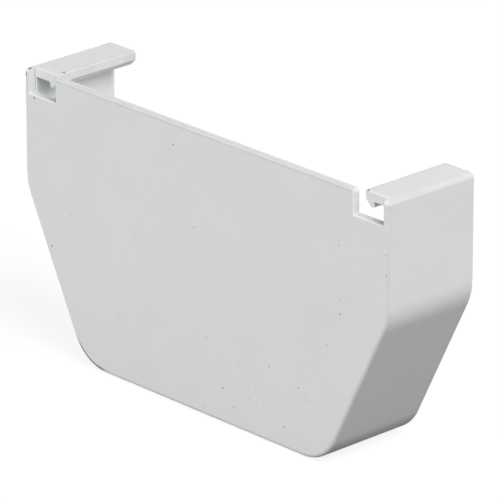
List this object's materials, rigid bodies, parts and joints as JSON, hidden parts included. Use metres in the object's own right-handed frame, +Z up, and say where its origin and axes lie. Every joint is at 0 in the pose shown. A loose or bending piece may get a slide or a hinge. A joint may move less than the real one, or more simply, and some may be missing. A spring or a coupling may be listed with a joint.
{
  "type": "gutter end cap",
  "caption": "White vinyl end cap for a trough gutter: a flat end plate with slanted lower sides, a shallow rim, and hooked lips along the top edges that snap over the gutter.",
  "frame": {"origin": "under the middle of the cap, on the flat bottom that it stands on", "axes": "+X across the cap's width, +Y from the end plate towards the open end that takes the gutter, +Z up"},
  "size_m": [0.133, 0.0296, 0.0758],
  "materials": {
    "white_vinyl": "satin moulded vinyl, white, with a few specks of dirt"
  },
  "bodies": {
    "root": {"end_cap": "white_vinyl"}
  },
  "joints": []
}
